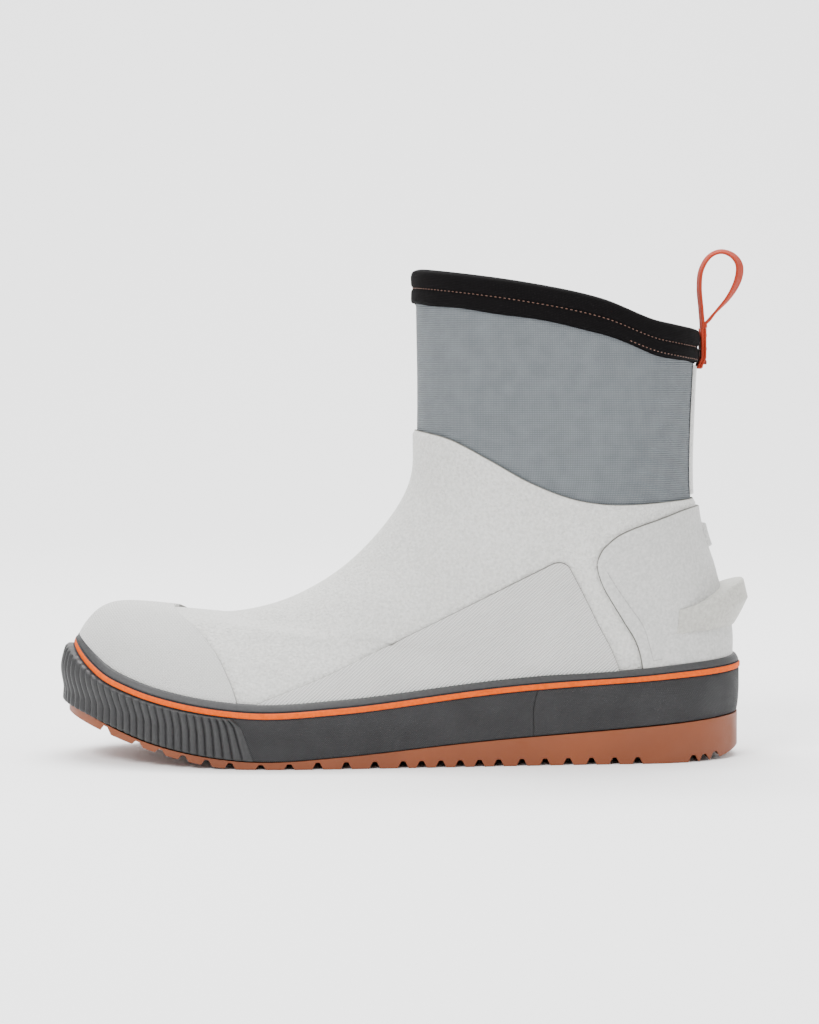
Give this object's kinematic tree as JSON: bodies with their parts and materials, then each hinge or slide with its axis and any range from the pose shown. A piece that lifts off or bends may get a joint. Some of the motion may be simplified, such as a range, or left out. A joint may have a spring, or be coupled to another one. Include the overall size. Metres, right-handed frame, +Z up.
{
  "type": "deck boot",
  "caption": "Pull-on ankle boot with a knit-faced neoprene shaft, rubber lower, foxing band, ribbed toe bumper, treaded sole, heel ledge and webbing pull loop.",
  "frame": {"origin": "centre of the outline seen from above, on the floor under the tread", "axes": "+Z up, toe towards -X, heel towards +X, outer side of the foot towards -Y"},
  "size_m": [0.3069, 0.1095, 0.2255],
  "materials": {
    "gum_rubber": "matte",
    "filler_rubber": "matte",
    "steel": "satin",
    "fibre_board": "matte",
    "foam": "matte",
    "lining_knit": "matte",
    "neoprene_knit": "matte",
    "stiffener_board": "matte",
    "grey_rubber": "satin",
    "textured_rubber": "matte",
    "lug_rubber": "satin",
    "tape_rubber": "matte",
    "dark_rubber": "matte",
    "orange_rubber": "satin",
    "strip_rubber": "satin",
    "bumper_rubber": "matte",
    "binding_knit": "matte",
    "stitch_thread": "satin",
    "webbing": "matte",
    "tack_thread": "satin"
  },
  "bodies": {
    "boot": {"outsole": "gum_rubber", "midsole": "filler_rubber", "shank": "steel", "insole_board": "fibre_board", "lining": "lining_knit", "neoprene_bootie": "neoprene_knit", "toe_puff": "stiffener_board", "heel_stiffener": "stiffener_board", "rubber_shell": "grey_rubber", "toe_cap": "textured_rubber", "lateral_side_panel": "textured_rubber", "medial_side_panel": "textured_rubber", "heel_counter": "grey_rubber", "kick_off_lug": "lug_rubber", "heel_tab": "grey_rubber", "backstay_tape": "tape_rubber", "front_foxing": "dark_rubber", "heel_foxing": "dark_rubber", "pinstripe": "orange_rubber", "foxing_top_strip": "strip_rubber", "toe_bumper": "bumper_rubber", "collar_binding": "binding_knit", "collar_stitching": "stitch_thread", "pull_loop_anchor": "webbing", "pull_loop_bartack": "tack_thread"},
    "footbed": {"footbed": "foam"},
    "pull_loop": {"pull_loop": "webbing"}
  },
  "joints": [
    {"name": "pull_loop_swing", "type": "hinge", "parent": "boot", "child": "pull_loop", "pos_m": [0.13331, -0.00033, 0.19209], "axis": [0, 1, 0], "range_deg": [-50, 60], "stiffness_Nm_per_rad": 0.004},
    {"name": "footbed_lift", "type": "hinge", "parent": "boot", "child": "footbed", "pos_m": [-0.13818, -0.00033, 0.03337], "axis": [0, -1, 0], "range_deg": [0, 8]}
  ]
}
